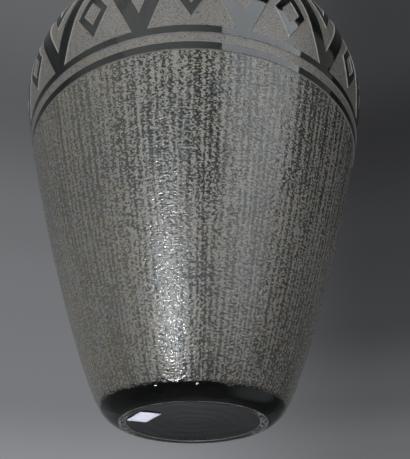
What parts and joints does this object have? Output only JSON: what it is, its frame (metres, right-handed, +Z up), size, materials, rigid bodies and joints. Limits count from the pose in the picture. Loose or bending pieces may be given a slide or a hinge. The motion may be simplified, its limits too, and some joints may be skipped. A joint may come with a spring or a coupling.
{
  "type": "glass baluster vase",
  "caption": "Heavy smoked glass vase with a tapering acid-etched body, banded shoulder with a zigzag frieze, short flared neck and a flat ground foot ring.",
  "frame": {"origin": "centre of the ground foot ring, on the surface that the vase stands on", "axes": "+Z up along the axis of the vase, from the foot to the rim; -Y faces the picture's camera"},
  "size_m": [0.272, 0.272, 0.3646],
  "materials": {
    "smoked_glass": "acid-etched, with polished bands, motifs and foot",
    "label_paper": "plain white matt paper"
  },
  "bodies": {
    "root": {"glass_vase": "smoked_glass", "paper_label": "label_paper"}
  },
  "joints": []
}
